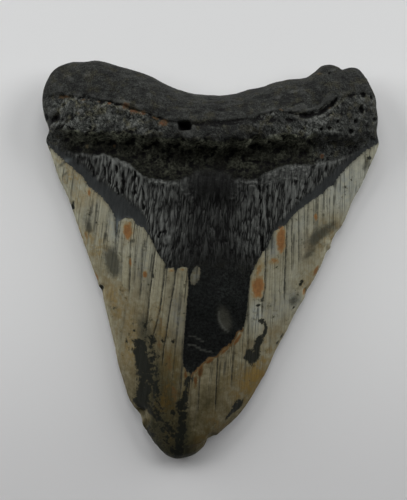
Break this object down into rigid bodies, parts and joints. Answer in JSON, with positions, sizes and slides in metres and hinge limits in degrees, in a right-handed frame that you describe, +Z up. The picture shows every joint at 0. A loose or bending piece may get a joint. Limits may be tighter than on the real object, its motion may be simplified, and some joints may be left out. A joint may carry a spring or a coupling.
{
  "type": "megalodon tooth",
  "caption": "Fossil megalodon tooth, broad triangular crown with worn cutting edges and a dark bulging root with a shallow bay, lying on its flatter face.",
  "frame": {"origin": "on the resting plane, under the middle of the tooth's bounding box", "axes": "+Y from the tip of the crown to the root, +Z up out of the bulging inner face, +X to the right of that face"},
  "size_m": [0.1112, 0.1316, 0.0259],
  "materials": {
    "fossil": "olive-grey worn enamel over a near-black mineralised root"
  },
  "bodies": {
    "root": {"tooth": "fossil"}
  },
  "joints": []
}
